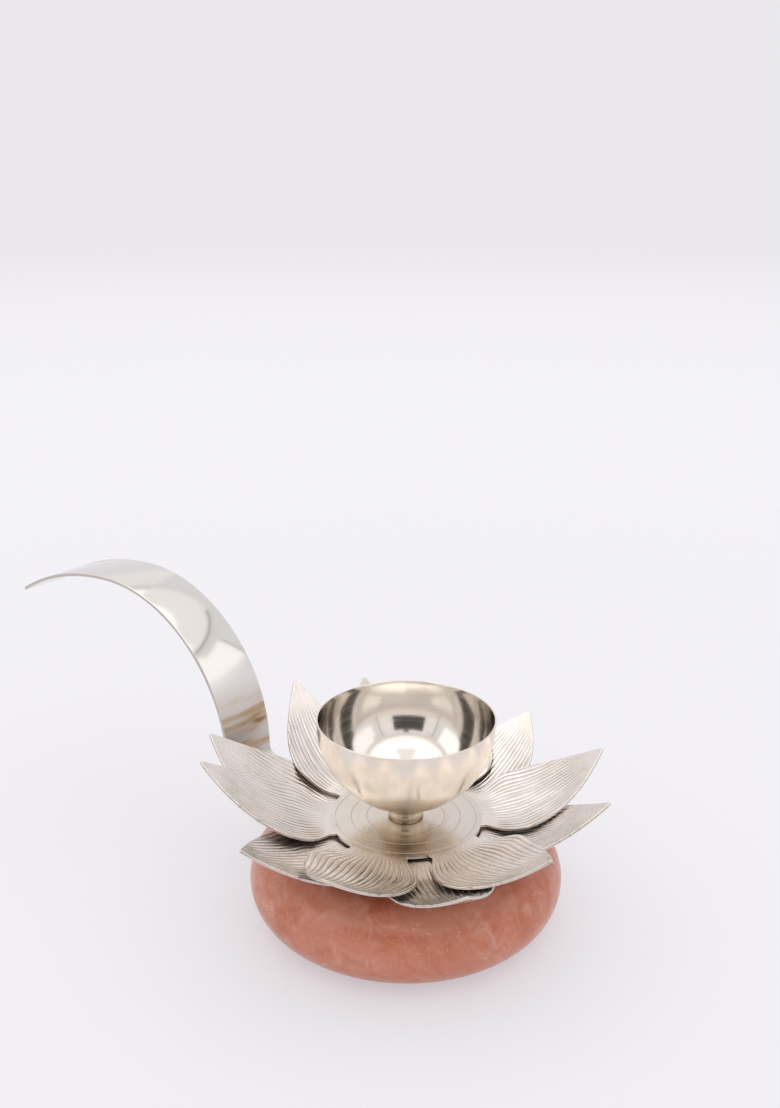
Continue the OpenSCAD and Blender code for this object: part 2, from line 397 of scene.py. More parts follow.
@dataclass(frozen=True)
class PolishedStrip:
    """Rolled white metal strip, buffed to a mirror: pale, with a long soft wave in it.

    It was bent by hand after buffing, so its reflections wander, and the flame of the solder
    left it duller near its foot. Its straw-coloured strokes there are a painted reflection of
    the veined petal beside it, and its brown strokes are heat tint and partly painted reflection.
    """

    name: str = "polished_strip"
    face: str = "#E0DCD8"
    rough: float = 0.1
    wave_mm: float = 26.0
    wave_depth_mm: float = 0.14
    grain_mm: float = 0.4
    grain_depth_mm: float = 0.002
    grain_pull: tuple[float, float, float] = (0.04, 1.0, 0.04)
    heat_rough: float = 0.5
    heat_fade_mm: Span = (54.0, 66.0)
    stroke_mm: float = 2.7
    stroke_slant: float = -24.0
    stroke_pull: tuple[float, float, float] = (0.3, 0.1, 1.0)
    stroke_fade_mm: float = 6.0
    # Straw strokes: a painted reflection of the veined petal beside the foot.
    straw_reflection: str = "#CDB696"
    straw_reflection_span: Span = (0.44, 0.66)
    straw_reflection_top_mm: float = 56.0
    # Brown strokes: heat tint, and partly a painted reflection.
    brown_tint_and_reflection: str = "#8C7052"
    brown_tint_and_reflection_span: Span = (0.61, 0.72)
    brown_tint_and_reflection_top_mm: float = 50.0

    def make(self) -> Material:
        """Builds the material; the painted reflections and heat tint follow the height above the
        table.
        """
        material, tree, place = new_material(self.name)
        height = add_node(tree, "SeparateXYZ", None, {0: place}).outputs[2]
        wave = pattern(tree, place, per(self.wave_mm), 0.0)
        pulled = add_node(tree, "Mapping", None, {"Vector": place, "Scale": self.grain_pull})
        grain = pattern(tree, pulled.outputs[0], per(self.grain_mm), 2.0)
        slanted = add_node(
            tree, "Mapping", None,
            {"Vector": place, "Rotation": (math.radians(self.stroke_slant), 0.0, 0.0),
             "Scale": self.stroke_pull},
        )
        strokes = pattern(tree, slanted.outputs[0], per(self.stroke_mm), 3.0)
        colour: str | Socket = self.face
        # Straw strokes are painted reflection; brown strokes are heat tint and partly painted
        # reflection.
        for shade, span, top_mm in (
            (self.straw_reflection, self.straw_reflection_span, self.straw_reflection_top_mm),
            (self.brown_tint_and_reflection, self.brown_tint_and_reflection_span, self.brown_tint_and_reflection_top_mm),
        ):
            fade = ((top_mm - self.stroke_fade_mm) * MM, top_mm * MM)
            share = ramp(tree, height, fade, (1.0, 0.0))
            tint = math_of(tree, "MULTIPLY", share, ramp(tree, strokes, span))
            colour = blend(tree, tint, colour, shade)
        fade = (self.heat_fade_mm[0] * MM, self.heat_fade_mm[1] * MM)
        low = ramp(tree, height, fade, (1.0, 0.0))
        finish_solid(tree, {
            "Base Color": colour,
            "Roughness": ramp(tree, low, to=(self.rough, self.heat_rough), eased=False),
            "Normal": relief(
                tree, (wave, self.wave_depth_mm, False), (grain, self.grain_depth_mm, False)
            ),
        }, metal=True)
        return material


@dataclass(frozen=True)
class CloudyQuartz:
    """Peach-pink quartz, turned and polished: milky depth, pale drifts, fine white grains.

    Light goes a few millimetres into it, which softens its shading and warms its edge.
    """

    name: str = "pink_quartz"
    deep: str = "#C06B49"
    face: str = "#CB8268"
    cloud_mm: float = 20.0
    cloud_span: Span = (0.38, 0.6)
    drift: str = "#D99F8D"
    mottle_mm: float = 6.0
    drift_span: Span = (0.44, 0.76)
    drift_share: float = 0.7
    mottle_depth_mm: float = 0.03
    grain: str = "#EBC4B4"
    grain_mm: float = 1.1
    grain_span: Span = (0.58, 0.84)
    grain_share: float = 0.5
    rough: float = 0.22
    rough_span: Span = (0.3, 0.7)
    rough_shares: Span = (0.85, 1.3)
    ior: float = 1.544
    milk_mm: float = 5.0
    milk_share: float = 0.35
    milk_reach: tuple[float, float, float] = (1.0, 0.45, 0.3)

    def make(self) -> Material:
        """Builds the material: two scales of cloud, then scattered pale grains of no set form."""
        material, tree, place = new_material(self.name)
        clouds, mottle, grains = (
            pattern(tree, place, per(size_mm), detail, Roughness=0.6, Distortion=twist)
            for size_mm, detail, twist in (
                (self.cloud_mm, 4.0, 0.8), (self.mottle_mm, 5.0, 0.6), (self.grain_mm, 2.0, 0.4),
            )
        )
        colour = blend(tree, ramp(tree, clouds, self.cloud_span), self.deep, self.face)
        for value, span, most, shade in (
            (mottle, self.drift_span, self.drift_share, self.drift),
            (grains, self.grain_span, self.grain_share, self.grain),
        ):
            colour = blend(tree, ramp(tree, value, span, (0.0, most)), colour, shade)
        low, high = (self.rough * share for share in self.rough_shares)
        finish_solid(tree, {
            "Base Color": colour,
            "Roughness": ramp(tree, mottle, self.rough_span, (low, high), eased=False),
            "IOR": self.ior,
            "Subsurface Weight": self.milk_share,
            "Subsurface Radius": self.milk_reach,
            "Subsurface Scale": self.milk_mm * MM,
            "Normal": relief(tree, (mottle, self.mottle_depth_mm, False)),
        })
        return material


@dataclass(frozen=True)
class SoftSheet:
    """A dull dark sheet: moulded rubber, pressed felt or vulcanised fibre, by its values."""

    name: str
    dark: str
    pale: str
    rough: float
    fibre_mm: float
    fibre_depth_mm: float
    fuzz: float = 0.0

    def make(self) -> Material:
        """Builds the material: fine fibres or grain in colour and relief."""
        material, tree, place = new_material(self.name)
        fibres = pattern(tree, place, per(self.fibre_mm), 4.0, Distortion=1.0)
        finish_solid(tree, {
            "Base Color": blend(tree, fibres, self.dark, self.pale),
            "Roughness": self.rough,
            "Sheen Weight": self.fuzz,
            "Normal": relief(tree, (fibres, self.fibre_depth_mm, False)),
        })
        return material


@dataclass(frozen=True)
class ZincSteel:
    """Zinc-plated steel hardware: bluish grey, finely grained, half dull."""

    name: str = "zinc_steel"
    face: str = "#B4B9BF"
    dull: str = "#8E949B"
    rough: float = 0.34
    rough_shares: Span = (0.8, 1.3)
    grain_mm: float = 0.6
    grain_depth_mm: float = 0.01

    def make(self) -> Material:
        """Builds the material: clouded plating over turned steel."""
        material, tree, place = new_material(self.name)
        grain = pattern(tree, place, per(self.grain_mm), 4.0)
        low, high = (self.rough * share for share in self.rough_shares)
        finish_solid(tree, {
            "Base Color": blend(tree, grain, self.face, self.dull),
            "Roughness": ramp(tree, grain, to=(low, high), eased=False),
            "Normal": relief(tree, (grain, self.grain_depth_mm, False)),
        }, metal=True)
        return material


# Mesh helpers


def add_object(name: str, data: bpy.types.ID) -> bpy.types.Object:
    """Puts an object into the scene.

    Args:
        name: Its name.
        data: Its mesh, light or camera.

    Returns:
        The object.
    """
    made = bpy.data.objects.new(name, data)
    bpy.context.scene.collection.objects.link(made)
    return made


def mesh_object(name: str, bm: BMesh) -> bpy.types.Object:
    """Turns a bmesh into an object.

    Args:
        name: The object's name and its mesh's.
        bm: Its shape in metres, in place; it is freed here.

    Returns:
        The object.
    """
    mesh = bpy.data.meshes.new(name)
    bm.to_mesh(mesh)
    bm.free()
    return add_object(name, mesh)


def make_piece(
    name: str,
    bm: BMesh,
    materials: list[Material],
    node: str,
    sharp_deg: float = 40.0,
) -> None:
    """Turns a bmesh into a finished piece that rides on the lamp and stands for a CAD node.

    Args:
        name: The piece's name.
        bm: Its shape in metres, in place; it is freed here.
        materials: Its materials, in the order that its faces number them.
        node: The CAD node that it replaces.
        sharp_deg: Edges that turn by more than this stay sharp.
    """
    piece = mesh_object(name, bm)
    mesh = piece.data
    mesh.polygons.foreach_set("use_smooth", [True] * len(mesh.polygons))
    mesh.set_sharp_from_angle(angle=math.radians(sharp_deg))
    for material in materials:
        mesh.materials.append(material)
    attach(piece, BODY)
    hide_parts(node)
    LOG.info("%s: %d faces, stands for %s", name, len(mesh.polygons), node)


def spin_outline(outline: list[Point], steps: int, closed: bool) -> BMesh:
    """Turns an outline about the lamp's axis.

    Args:
        outline: Points of radius and height in millimetres.
        steps: Steps round the full turn.
        closed: Whether the outline's last point joins its first, as on a ring; otherwise it
            starts and ends on the axis.

    Returns:
        A closed mesh with its faces outwards.
    """
    bm = bmesh.new()
    verts = [bm.verts.new((r * MM, 0.0, z * MM)) for r, z in outline]
    pairs = list(zip(verts, verts[1:])) + ([(verts[-1], verts[0])] if closed else [])
    edges = [bm.edges.new(pair) for pair in pairs]
    bmesh.ops.spin(
        bm, geom=verts + edges, cent=(0, 0, 0), axis=(0, 0, 1), angle=math.tau,
        steps=steps, use_merge=True,
    )
    bmesh.ops.remove_doubles(bm, verts=bm.verts, dist=MERGE_MM * MM)
    bmesh.ops.recalc_face_normals(bm, faces=bm.faces)
    return bm


def arc_points(
    centre: Point, radius: float, start: float, end: float, steps: int
) -> list[Point]:
    """Points of an arc.

    Args:
        centre: Its centre, across and up, in millimetres.
        radius: Its radius in millimetres.
        start: Its first angle in degrees.
        end: Its last angle in degrees.
        steps: Steps along it.

    Returns:
        The points, both ends included.
    """
    points = []
    for i in range(steps + 1):
        a = math.radians(start + (end - start) * i / steps)
        points.append((centre[0] + radius * math.cos(a), centre[1] + radius * math.sin(a)))
    return points


def bend(start: Vector, corner: Vector, end: Vector, steps: int) -> list[Point]:
    """Points of a soft corner.

    Args:
        start: Where it leaves the first side, in millimetres.
        corner: The sharp corner that it takes the place of.
        end: Where it meets the second side.
        steps: Steps along it.

    Returns:
        The points, both ends included.
    """
    points = []
    for k in range(steps + 1):
        t = k / steps
        point = start * (1 - t) ** 2 + corner * 2 * t * (1 - t) + end * t**2
        points.append((point.x, point.y))
    return points


def round_corners(outline: list[Point], radius: float, steps: int = 3) -> list[Point]:
    """Rounds every corner of a closed outline.

    Args:
        outline: Its corners in millimetres.
        radius: The length that each corner gives up along both its sides.
        steps: Steps along each round.

    Returns:
        The longer list of points.
    """
    points = []
    for i, here in enumerate(outline):
        corner = Vector(here)
        before = (Vector(outline[i - 1]) - corner).normalized() * radius + corner
        after = (Vector(outline[(i + 1) % len(outline)]) - corner).normalized() * radius + corner
        points += bend(before, corner, after, steps)
    return points


def washer(inner_d: float, outer_d: float, low: float, thick: float, radius: float) -> list[Point]:
    """Outline of a flat ring.

    Args:
        inner_d: The diameter of its hole in millimetres.
        outer_d: Its own diameter.
        low: The height of its underside.
        thick: Its thickness.
        radius: How far its corners are rounded.

    Returns:
        The points of radius and height.
    """
    inner, outer, top = inner_d / 2, outer_d / 2, low + thick
    return round_corners([(inner, low), (outer, low), (outer, top), (inner, top)], radius)


def drill(bm: BMesh, hole_d: float, low: float, high: float, steps: int) -> BMesh:
    """Drills a hole on the lamp's axis.

    Args:
        bm: The mesh to drill; it is freed here.
        hole_d: The hole's diameter in millimetres.
        low: A height below the drilled sheet, in millimetres.
        high: A height above it.
        steps: Steps round the hole.

    Returns:
        The drilled mesh.
    """
    bit = [(0.0, low), (hole_d / 2, low), (hole_d / 2, high), (0.0, high)]
    shapes = (("blank", bm), ("drill_bit", spin_outline(bit, steps, False)))
    blanks = [mesh_object(name, shape) for name, shape in shapes]
    cut = blanks[0].modifiers.new("drilled", "BOOLEAN")
    cut.operation = "DIFFERENCE"
    cut.solver = "EXACT"
    cut.object = blanks[1]
    graph = bpy.context.evaluated_depsgraph_get()
    shaped = bpy.data.meshes.new_from_object(blanks[0].evaluated_get(graph))
    drilled = bmesh.new()
    drilled.from_mesh(shaped)
    for blank in blanks:
        mesh = blank.data
        bpy.data.objects.remove(blank)
        bpy.data.meshes.remove(mesh)
    bpy.data.meshes.remove(shaped)
    return drilled


# Heights that the pieces share, in millimetres


@dataclass(frozen=True)
class Levels:
    """Heights of the pieces above the table, one on another."""

    stone: float = 1.0
    gasket: float = 26.4
    tab: float = 28.2
    lower: float = 29.4
    collar: float = 30.2
    upper: float = 31.9
    stem: float = 32.7
    bowl_centre: float = 65.3
    rim: float = 66.7


LEVELS = Levels()


class Side(Enum):
    """Which face of a petal."""

    TOP = "top"
    UNDER = "under"


class Finish(Enum):
    """Which of a flower sheet's materials a face takes."""

    PETAL = 0
    DISC = 1
    EDGE = 2


@dataclass
class StoneBase:
    """The stone disc with its felt pad and rubber disc, all turned shapes."""

    stone_d: float = 99.0
    stone_t: float = 25.4
    hole_d: float = 7.0
    recess_d: float = 22.0
    recess_depth: float = 14.0
    pad_d: float = 70.0
    pad_t: float = 1.0
    pad_edge: float = 0.3
    gasket_d: float = 40.0
    gasket_t: float = 1.8
    gasket_edge: float = 0.35
    stud_hole_d: float = 5.4
    edge_steps: int = 48
    turn_steps: int = 192

    def build(self) -> None:
        """Makes the stone, the pad and the rubber disc."""
        low, edge_r = LEVELS.stone, self.stone_t / 2
        seat = low + self.recess_depth
        stone = [(self.hole_d / 2, low + self.stone_t)]
        stone += arc_points(
            (self.stone_d / 2 - edge_r, low + edge_r), edge_r, 90, -90, self.edge_steps
        )
        stone += [(self.recess_d / 2, low), (self.recess_d / 2, seat), (self.hole_d / 2, seat)]
        corners = [(0.0, 0.0), (self.pad_d / 2, 0.0), (self.pad_d / 2, self.pad_t)]
        pad = round_corners([*corners, (0.0, self.pad_t)], self.pad_edge)
        on_axis = 2 * self.pad_edge
        pad = [(0.0, 0.0), *(p for p in pad if p[0] > on_axis), (0.0, self.pad_t)]
        gasket = washer(
            self.stud_hole_d, self.gasket_d, LEVELS.gasket, self.gasket_t, self.gasket_edge
        )
        felt = SoftSheet(
            "black_felt", "#1E1B1C", "#3B3637", rough=0.95, fibre_mm=0.35,
            fibre_depth_mm=0.12, fuzz=0.4,
        )
        rubber = SoftSheet(
            "moulded_rubber", "#1C1B1B", "#2C2A29", rough=0.62, fibre_mm=0.8,
            fibre_depth_mm=0.02,
        )
        for name, outline, closed, finish, slot, node in (
            ("stone_disc", stone, True, CloudyQuartz(), "pink_stone", "stone_base"),
            ("felt_pad", pad, False, felt, "felt", "base_pad"),
            ("rubber_disc", gasket, True, rubber, "rubber", "stone_gasket"),
        ):
            shape = spin_outline(outline, self.turn_steps, closed)
            make_piece(name, shape, [finish.make()], node)


@dataclass(frozen=True)
class Petal:
    """One petal of a flower sheet, bent by hand a little off its neighbours."""

    reach: float
    angle: float
    lift: float
    curl: float
    roll: float
    root_r: float = 24.2
    root_w: float = 18.5
    petal_w: float = 32.4
    tip_w: float = 1.0
    cup: float = 1.5
    widest: float = 0.3
    rolled_by: float = 0.3
    fullness: float = 1.9
    swell: float = 0.0
    swell_up: float = 2.2
    swell_down: Span = (1.0, 9.0)

    @property
    def length(self) -> float:
        """Its length on the flat, from the round middle to the tip."""
        return self.reach - self.root_r

    def half_width(self, s: float) -> float:
        """Half its width at share s of its length."""
        if s < self.widest:
            swell = math.sin(math.pi / 2 * max(s, 0.0) / self.widest)
            return self.root_w / 2 + (self.petal_w - self.root_w) / 2 * swell
        fall = ((s - self.widest) / (1 - self.widest)) ** self.fullness
        return self.tip_w / 2 + (self.petal_w - self.tip_w) / 2 * (1 - fall)

    def plain(self, s: float, y: float) -> Vector:
        """A point of its smooth top face.

        Args:
            s: Share along it.
            y: Millimetres across it from its middle line.

        Returns:
            The point, with the petal along +X and the sheet's top face at zero height.
        """
        along = max(s, 0.0)
        taken = 1.0
        if s < self.rolled_by:
            taken = (1 - math.cos(math.pi * along / self.rolled_by)) / 2
        cupped = self.cup * (2 * y / self.petal_w) ** 2
        rolled = math.tan(math.radians(self.roll)) * y
        rise = self.lift * along**self.curl + taken * (cupped + rolled)
        if self.swell:
            out = s * self.length
            up = min(1.0, max(0.0, 1 + out / self.swell_up))
            start, end = self.swell_down
            down = min(1.0, max(0.0, (end - out) / (end - start)))
            rise += self.swell * up * down * down * (3 - 2 * down)
        return Vector((self.root_r + self.length * s, y, rise))

    def normal(self, s: float, y: float) -> Vector:
        """The upward unit normal of the same face."""
        step = 0.001
        here = self.plain(s, y)
        along = self.plain(s + step, y) - here
        across = self.plain(s, y + step) - here
        return along.cross(across).normalized()


@dataclass
class LotusSheet:
    """A stamped flower sheet: a drilled round middle and six veined petals."""

    name: str
    node: str
    level: float
    start: float
    reach: float
    turns: tuple[float, ...]
    lift_shares: tuple[float, ...]
    curls: tuple[float, ...]
    rolls: tuple[float, ...]
    rings: tuple[float, ...] = ()
    sheet_t: float = 0.8
    disc_d: float = 48.4
    hole_d: float = 5.4
    lift: float = 18.0
    root_swell: float = 0.0
    bury: float = 2.0
    inset: float = 0.01
    veins: int = 18
    vein_depth: float = 0.15
    vein_share: float = 0.25
    vein_fan: float = 0.42
    vein_start_mm: Span = (1.0, 4.0)
    vein_end: Span = (0.93, 0.2)
    vein_under: float = 0.4
    wobble: float = 0.28
    wobble_pace: tuple[float, float, float] = (3.0, 0.25, 7.3)
    hand: Span = (0.8, 0.9)
    hand_least: float = 0.2
    hand_pace: tuple[float, float, float] = (1.7, 2.5, 3.1)
    edge_r: float = 0.22
    tip_least: float = 0.35
    rows: int = 44
    columns: int = 144
    edge_steps_mm: tuple[float, ...] = (0.0, 0.05, 0.12, 0.22)
    edge_share: float = 0.4
    ring_w: float = 0.36
    ring_depth: float = 0.1
    ring_flat: float = 0.08
    turn_steps: int = 192

    def petals(self) -> list[Petal]:
        """The six petals, going round from the first."""
        count = len(self.turns)
        return [
            Petal(
                reach=self.reach,
                angle=self.start + 360 / count * n + self.turns[n],
                lift=self.lift * self.lift_shares[n],
                curl=self.curls[n],
                roll=self.rolls[n],
                swell=self.root_swell,
            )
            for n in range(count)
        ]

    def vein_line(self, petal: Petal, s: float, y: float, seed: float) -> float:
        """Counts veins across a petal: it is whole on each vein.

        The veins leave the root evenly, fan out, and run on nearly straight to the edge.

        Args:
            petal: The petal.
            s: Share along it.
            y: Millimetres across it.
            seed: Number of the petal, which moves the hand's small wobble.

        Returns:
            The count, from about minus half the veins to half of them.
        """
        width = petal.half_width(s)
        if s >= petal.widest:
            past = (s - petal.widest) / (1 - petal.widest)
            width = petal.petal_w / 2 * (1 - self.vein_fan * past)
        pace = self.wobble_pace
        drift = noise.noise(Vector((s * pace[0], y * pace[1], seed * pace[2])))
        return self.veins / 2 * y / width + self.wobble * drift

    def vein_drop(self, line: float, s: float, petal: Petal, seed: float) -> float:
        """Depth of a vein below the plain satin between, in millimetres.

        Each vein is pressed a little harder or softer than the next, and all run out before
        the tip.

        Args:
            line: The vein count at the point.
            s: Share along the petal.
            petal: The petal.
            seed: Its number.

        Returns:
            The depth.
        """
        swing = abs((line + 0.5) % 1.0 - 0.5)
        near = max(0.0, 1 - swing / self.vein_share)
        (start, start_fade), (end, end_fade) = self.vein_start_mm, self.vein_end
        root = min(1.0, max(0.0, (s * petal.length - start) / start_fade))
        tip = min(1.0, max(0.0, (end - s) / end_fade))
        pace = self.hand_pace
        drift = noise.noise(Vector((round(line) * pace[0], s * pace[1], seed * pace[2])))
        pressed = max(self.hand_least, self.hand[0] + self.hand[1] * drift)
        return self.vein_depth * pressed * near * near * (3 - 2 * near) * root * tip

    def spread(self, index: int, count: int, half: float) -> float:
        """Where a column of points lies across a petal, close together at both edges.

        Args:
            index: The column's number.
            count: Columns in all, less one.
            half: Half the petal's width there, in millimetres.

        Returns:
            Millimetres from the middle line.
        """
        extra = len(self.edge_steps_mm)
        from_edge = min(index, count - index)
        band = min(self.edge_steps_mm[-1], half * self.edge_share)
        sign = -1 if index < count / 2 else 1
        if from_edge < extra:
            return sign * (half - band * self.edge_steps_mm[from_edge] / self.edge_steps_mm[-1])
        inner = half - band
        share = (index - extra + 1) / (count - 2 * (extra - 1))
        return (2 * share - 1) * inner

    def add_petal(self, bm: BMesh, petal: Petal, seed: int) -> None:
        """Adds one petal to the sheet's mesh.

        Args:
            bm: The sheet's mesh.
            petal: The petal to shape.
            seed: Its number.
        """
        extra = len(self.edge_steps_mm) - 1
        columns = self.columns + 2 * extra
        rows = self.rows + extra
        root_s = -self.bury / petal.length
        last_s = 1 - self.edge_steps_mm[-1] / petal.length
        veins = bm.loops.layers.uv["veins"]
        spin = Matrix.Rotation(math.radians(petal.angle), 4, "Z")
        lift = Matrix.Translation((0, 0, (self.level + self.sheet_t) * MM))
        rims = []
        for side in Side:
            grid = bmesh.ops.create_grid(bm, x_segments=rows, y_segments=columns, size=1.0)
            verts = grid["verts"]
            faces = {f for v in verts for f in v.link_faces}
            lines = {}
            for v in verts:
                i = round((v.co.x + 1) / 2 * rows)
                j = round((v.co.y + 1) / 2 * columns)
                if i > self.rows:
                    to_end = self.edge_steps_mm[rows - i]
                    s = 1 - to_end / petal.length
                else:
                    s = root_s + (last_s - root_s) * (i / self.rows)
                    to_end = (1 - s) * petal.length
                half = petal.half_width(s)
                if to_end < petal.tip_w / 2:
                    rounded = math.sqrt(1 - (1 - 2 * to_end / petal.tip_w) ** 2)
                    half *= max(self.tip_least, rounded)
                y = self.spread(j, columns, half)
                line = self.vein_line(petal, s, y, float(seed))
                drop = self.vein_drop(line, s, petal, float(seed))
                gone = max(0.0, self.edge_r - min(half - abs(y), to_end))
                worn = self.edge_r - math.sqrt(max(0.0, self.edge_r**2 - gone**2))
                if side is Side.TOP:
                    off = -self.inset - drop - worn
                else:
                    off = -self.sheet_t + self.inset - self.vein_under * drop + worn
                co = petal.plain(s, y) + petal.normal(s, y) * off
                v.co = lift @ spin @ (co * MM)
                lines[v] = (line, s * petal.length)
            for f in faces:
                f.material_index = Finish.PETAL.value
                for loop in f.loops:
                    loop[veins].uv = lines[loop.vert]
            if side is Side.UNDER:
                bmesh.ops.reverse_faces(bm, faces=list(faces))
            rims += [e for e in {e for f in faces for e in f.edges} if e.is_boundary]
        for f in bmesh.ops.bridge_loops(bm, edges=rims)["faces"]:
            f.material_index = Finish.EDGE.value

    def build(self, materials: list[Material]) -> None:
        """Makes the sheet.

        Args:
            materials: Finishes of the petals, of the round middle and of every cut.
        """
        low, top = self.level, self.level + self.sheet_t
        outline = [(self.hole_d / 2, low), (self.disc_d / 2, low), (self.disc_d / 2, top)]
        for ring_d in self.rings:
            r, w, d = ring_d / 2, self.ring_w / 2, self.ring_depth
            outline += [
                (r + w + self.ring_flat, top), (r + w, top), (r, top - d), (r - w, top),
                (r - w - self.ring_flat, top),
            ]
        outline.append((self.hole_d / 2, top))
        bm = spin_outline(outline, self.turn_steps, True)
        bm.loops.layers.uv.new("veins")
        for f in bm.faces:
            middle = f.calc_center_median() / MM
            engraved = low + self.sheet_t / 2 < middle.z < top - self.inset
            cut = middle.xy.length > self.disc_d / 2 - self.ring_w
            f.material_index = (Finish.EDGE if engraved or cut else Finish.DISC).value
        for seed, petal in enumerate(self.petals()):
            self.add_petal(bm, petal, seed)
        make_piece(self.name, bm, materials, self.node, sharp_deg=50.0)


@dataclass
class Handle:
    """The strip handle: a flat tab under the flower, a bend up, a quarter turn and a grip."""

    strip_w: float = 21.0
    strip_t: float = 1.2
    tab_past: float = 11.0
    tab_corner: float = 4.0
    stud_hole_d: float = 5.4
    reach: float = 68.0
    foot_r: float = 4.0
    upright: float = 0.6
    rise_r: float = 55.0
    grip_r: float = 96.0
    grip_angle: float = 31.0
    tab_steps: int = 12
    foot_steps: int = 16
    rise_steps: int = 64
    grip_steps: int = 32
    hole_steps: int = 48
    side_share: float = 0.8
    edge_r: float = 0.28

    def section(self) -> list[Point]:
        """The strip's rounded cross-section: across and up, in millimetres."""
        w, t = self.strip_w / 2, self.strip_t / 2
        return round_corners([(-w, -t), (w, -t), (w, t), (-w, t)], self.edge_r)

    def draw(self) -> BMesh:
        """Draws the cross-section along the strip's path."""
        mid = LEVELS.tab + self.strip_t / 2
        rise_z = mid + self.foot_r + self.upright
        over_x = -self.reach - self.rise_r
        over_z = rise_z + self.rise_r
        bm = bmesh.new()
        verts = [
            bm.verts.new((self.tab_past * MM, y * MM, (mid + z) * MM)) for y, z in self.section()
        ]
        ring = [bm.edges.new(pair) for pair in zip(verts, verts[1:] + verts[:1])]
        bm.faces.new(verts)

        def straight(step: tuple[float, float, float], pieces: int) -> None:
            """Draws the section along a straight step in millimetres, in equal pieces."""
            nonlocal ring
            for _ in range(pieces):
                made = bmesh.ops.extrude_edge_only(bm, edges=ring)["geom"]
                moved = {g for g in made if isinstance(g, bmesh.types.BMVert)}
                bmesh.ops.translate(bm, verts=list(moved), vec=Vector(step) * MM / pieces)
                ring = [
                    g for g in made
                    if isinstance(g, bmesh.types.BMEdge) and all(v in moved for v in g.verts)
                ]

        def turn(x: float, z: float, degrees: float, steps: int) -> None:
            """Draws the section round an arc about a level axis at x and z."""
            nonlocal ring
            made = bmesh.ops.spin(
                bm, geom=ring, cent=(x * MM, 0, z * MM), axis=(0, 1, 0),
                angle=math.radians(degrees), steps=steps,
            )["geom_last"]
            ring = [g for g in made if isinstance(g, bmesh.types.BMEdge)]

        tab = self.tab_past + self.reach - self.foot_r
        straight((-tab, 0, 0), self.tab_steps)
        turn(-self.reach + self.foot_r, mid + self.foot_r, 90, self.foot_steps)
        straight((0, 0, self.upright), 1)
        turn(over_x, rise_z, -90, self.rise_steps)
        turn(over_x, over_z - self.grip_r, -self.grip_angle, self.grip_steps)
        bmesh.ops.contextual_create(bm, geom=ring)
        bmesh.ops.remove_doubles(bm, verts=bm.verts, dist=MERGE_MM * MM)
        bmesh.ops.recalc_face_normals(bm, faces=bm.faces)
        return bm

    def build(self, cut_edge: Material) -> None:
        """Makes the strip, cuts its hidden corners and drills it for the stud.

        Args:
            cut_edge: Finish of its sheared sides.
        """
        bm = self.draw()
        for side in (-1, 1):
            cut = bmesh.ops.bisect_plane(
                bm, geom=bm.verts[:] + bm.edges[:] + bm.faces[:], clear_outer=True,
                plane_co=Vector((self.tab_past - self.tab_corner, side * self.strip_w / 2, 0)) * MM,
                plane_no=(1, side, 0),
            )
            loop = [g for g in cut["geom_cut"] if isinstance(g, bmesh.types.BMEdge)]
            bmesh.ops.edgeloop_fill(bm, edges=loop)
        bmesh.ops.recalc_face_normals(bm, faces=bm.faces)
        bm = drill(bm, self.stud_hole_d, LEVELS.tab - 1, LEVELS.lower + 1, self.hole_steps)
        bm.normal_update()
        for f in bm.faces:
            f.material_index = int(abs(f.normal.y) > self.side_share)
        finishes = [PolishedStrip().make(), cut_edge]
        make_piece(
            "strip_handle", bm, finishes, "handle_strip", sharp_deg=50.0
        )


